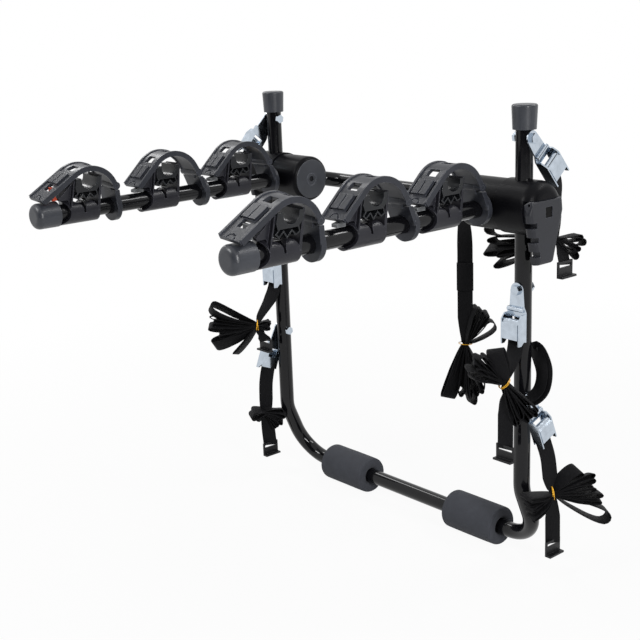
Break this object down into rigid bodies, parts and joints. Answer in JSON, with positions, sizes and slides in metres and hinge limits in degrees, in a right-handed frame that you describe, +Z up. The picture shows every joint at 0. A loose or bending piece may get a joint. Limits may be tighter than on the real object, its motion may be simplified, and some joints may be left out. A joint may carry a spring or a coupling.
{
  "type": "trunk mounted bike rack",
  "caption": "Trunk mounted bike rack: bent steel tube frame with foam bumper pads, ratchet hubs with release levers, folding arms with strapped cradles, and webbing straps on cam buckles.",
  "frame": {"origin": "the middle of the lower bar's axis, where the bumper pads rest", "axes": "+X across the car to the right as seen from behind it, +Y towards the car, +Z up"},
  "size_m": [0.713, 0.624, 0.713],
  "materials": {
    "black_tube": "gloss black powder coat",
    "foam": "matte closed-cell foam",
    "cap_rubber": "satin dark grey rubber",
    "hub_plastic": "satin dark grey plastic",
    "lever_plastic": "satin dark grey plastic",
    "washer_plastic": "matte black",
    "bolt_steel": "zinc-plated steel",
    "zinc": "bright zinc-plated pressed steel",
    "cradle_plastic": "satin dark grey plastic",
    "seat_rubber": "soft black rubber",
    "strap_rubber": "satin dark grey rubber",
    "catch_grey": "light grey plastic",
    "catch_red": "red plastic",
    "webbing": "woven black webbing",
    "hook_steel": "black coated steel",
    "band_orange": "yellow-orange rubber band"
  },
  "bodies": {
    "frame": {"lower_frame": "black_tube", "lower_pad_left": "foam", "lower_pad_right": "foam", "upright_caps": "cap_rubber", "hub_housing_left": "hub_plastic", "hub_housing_right": "hub_plastic", "friction_washers": "washer_plastic", "pivot_bolts": "bolt_steel", "lever_pins": "bolt_steel", "strap_bolts": "zinc", "buckle_frames": "zinc", "webbing_upper_left": "webbing", "webbing_middle_left": "webbing", "webbing_lower_left": "webbing", "webbing_upper_right": "webbing", "webbing_middle_right": "webbing", "webbing_lower_right": "webbing", "hank_upper_left": "webbing", "hank_middle_left": "webbing", "hank_lower_left": "webbing", "hank_upper_right": "webbing", "hank_middle_right": "webbing", "hank_lower_right": "webbing", "strap_hooks": "hook_steel", "rubber_bands": "band_orange"},
    "arms": {"arm_tube_left": "black_tube", "arm_tube_right": "black_tube", "rear_loop": "black_tube", "hub_barrel_left": "hub_plastic", "hub_barrel_right": "hub_plastic", "arm_end_caps": "cap_rubber", "cradle_base_left_1": "cradle_plastic", "cradle_base_left_2": "cradle_plastic", "cradle_base_left_3": "cradle_plastic", "cradle_base_right_1": "cradle_plastic", "cradle_base_right_2": "cradle_plastic", "cradle_base_right_3": "cradle_plastic", "cradle_liners_left": "seat_rubber", "cradle_liners_right": "seat_rubber", "strap_rings": "strap_rubber", "strap_catches": "catch_grey", "strap_catch_red": "catch_red"},
    "hub_lever_left": {"hub_lever_left": "lever_plastic"},
    "hub_lever_right": {"hub_lever_right": "lever_plastic"},
    "cradle_strap_left_1": {"cradle_strap_left_1": "strap_rubber"},
    "cradle_strap_left_2": {"cradle_strap_left_2": "strap_rubber"},
    "cradle_strap_left_3": {"cradle_strap_left_3": "strap_rubber"},
    "cradle_strap_right_1": {"cradle_strap_right_1": "strap_rubber"},
    "cradle_strap_right_2": {"cradle_strap_right_2": "strap_rubber"},
    "cradle_strap_right_3": {"cradle_strap_right_3": "strap_rubber"},
    "buckle_cam_upper_left": {"buckle_cam_upper_left": "zinc"},
    "buckle_cam_middle_left": {"buckle_cam_middle_left": "zinc"},
    "buckle_cam_lower_left": {"buckle_cam_lower_left": "zinc"},
    "buckle_cam_upper_right": {"buckle_cam_upper_right": "zinc"},
    "buckle_cam_middle_right": {"buckle_cam_middle_right": "zinc"},
    "buckle_cam_lower_right": {"buckle_cam_lower_right": "zinc"},
    "tie_strap": {"webbing_tie": "webbing", "hank_tie": "webbing", "tie_band": "band_orange"}
  },
  "joints": [
    {"name": "arm_fold", "type": "hinge", "parent": "frame", "child": "arms", "pos_m": [0, -0.043, 0.536], "axis": [1, 0, 0], "range_deg": [-15, 90]},
    {"name": "lever_lift_left", "type": "hinge", "parent": "frame", "child": "hub_lever_left", "pos_m": [-0.3165, -0.043, 0.5455], "axis": [0, 1, 0], "range_deg": [0, 55], "stiffness_Nm_per_rad": 0.4},
    {"name": "lever_lift_right", "type": "hinge", "parent": "frame", "child": "hub_lever_right", "pos_m": [0.3165, -0.043, 0.5455], "axis": [0, -1, 0], "range_deg": [0, 55], "stiffness_Nm_per_rad": 0.4},
    {"name": "strap_open_left_1", "type": "hinge", "parent": "arms", "child": "cradle_strap_left_1", "pos_m": [-0.23563, -0.411, 0.56992], "axis": [-0.9976, 0, 0.0698], "range_deg": [0, 80]},
    {"name": "strap_open_left_2", "type": "hinge", "parent": "arms", "child": "cradle_strap_left_2", "pos_m": [-0.238, -0.2545, 0.57], "axis": [-1, 0, 0], "range_deg": [0, 80]},
    {"name": "strap_open_left_3", "type": "hinge", "parent": "arms", "child": "cradle_strap_left_3", "pos_m": [-0.238, -0.1085, 0.57], "axis": [-1, 0, 0], "range_deg": [0, 80]},
    {"name": "strap_open_right_1", "type": "hinge", "parent": "arms", "child": "cradle_strap_right_1", "pos_m": [0.24037, -0.411, 0.56992], "axis": [-0.9976, 0, 0.0698], "range_deg": [0, 80]},
    {"name": "strap_open_right_2", "type": "hinge", "parent": "arms", "child": "cradle_strap_right_2", "pos_m": [0.238, -0.2545, 0.57], "axis": [-1, 0, 0], "range_deg": [0, 80]},
    {"name": "strap_open_right_3", "type": "hinge", "parent": "arms", "child": "cradle_strap_right_3", "pos_m": [0.238, -0.1085, 0.57], "axis": [-1, 0, 0], "range_deg": [0, 80]},
    {"name": "cam_press_upper_left", "type": "hinge", "parent": "frame", "child": "buckle_cam_upper_left", "pos_m": [-0.3034, -0.07257, 0.59876], "axis": [0, 0.766, -0.6428], "range_deg": [0, 30], "stiffness_Nm_per_rad": 0.06},
    {"name": "cam_press_middle_left", "type": "hinge", "parent": "frame", "child": "buckle_cam_middle_left", "pos_m": [-0.28, -0.0664, 0.37], "axis": [-1, 0, 0], "range_deg": [0, 30], "stiffness_Nm_per_rad": 0.06},
    {"name": "cam_press_lower_left", "type": "hinge", "parent": "frame", "child": "buckle_cam_lower_left", "pos_m": [-0.3034, -0.06023, 0.20735], "axis": [0, 0.9272, -0.3746], "range_deg": [0, 30], "stiffness_Nm_per_rad": 0.06},
    {"name": "cam_press_upper_right", "type": "hinge", "parent": "frame", "child": "buckle_cam_upper_right", "pos_m": [0.3034, -0.01343, 0.59876], "axis": [0, -0.766, -0.6428], "range_deg": [0, 30], "stiffness_Nm_per_rad": 0.06},
    {"name": "cam_press_middle_right", "type": "hinge", "parent": "frame", "child": "buckle_cam_middle_right", "pos_m": [0.28, -0.0664, 0.37], "axis": [-1, 0, 0], "range_deg": [0, 30], "stiffness_Nm_per_rad": 0.06},
    {"name": "cam_press_lower_right", "type": "hinge", "parent": "frame", "child": "buckle_cam_lower_right", "pos_m": [0.3034, -0.02577, 0.20735], "axis": [0, -0.9272, -0.3746], "range_deg": [0, 30], "stiffness_Nm_per_rad": 0.06},
    {"name": "tie_swing", "type": "hinge", "parent": "arms", "child": "tie_strap", "pos_m": [0.088, 0.047, 0.51985], "axis": [1, 0, 0], "range_deg": [-92, 17]}
  ],
  "couplings": [
    {"joint": "tie_swing", "follows": "arm_fold", "ratio": -1}
  ]
}
